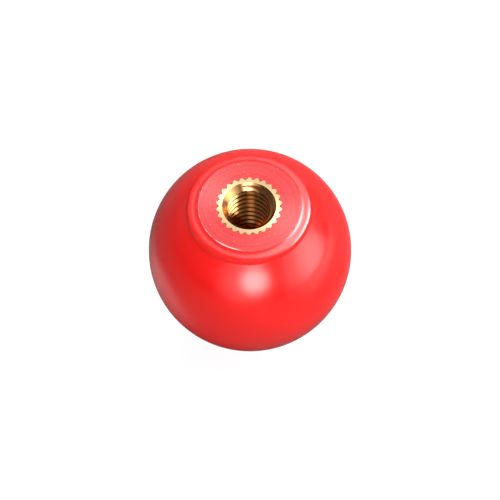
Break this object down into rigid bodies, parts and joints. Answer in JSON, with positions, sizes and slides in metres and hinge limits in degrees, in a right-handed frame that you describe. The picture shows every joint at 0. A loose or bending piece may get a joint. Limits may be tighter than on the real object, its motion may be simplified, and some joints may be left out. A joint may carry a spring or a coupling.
{
  "type": "ball knob",
  "caption": "Red moulded ball knob with a knurled brass bush, tapped blind for an M6 stud, set flush in a turned mouth face inside a low collar.",
  "frame": {"origin": "centre of the turned mouth face, on the thread's axis", "axes": "+Z along the thread's axis, out of the mouth; the ball lies below the origin, and X and Y are alike all round it"},
  "size_m": [0.025, 0.025, 0.0234],
  "materials": {
    "red_phenolic": "compression-moulded phenolic plastic, red right through, polished, with a turned mouth face",
    "brass": "turned free-cutting brass, straight-knurled outside and tapped inside, uncoated"
  },
  "bodies": {
    "root": {"ball": "red_phenolic", "threaded_insert": "brass"}
  },
  "joints": []
}
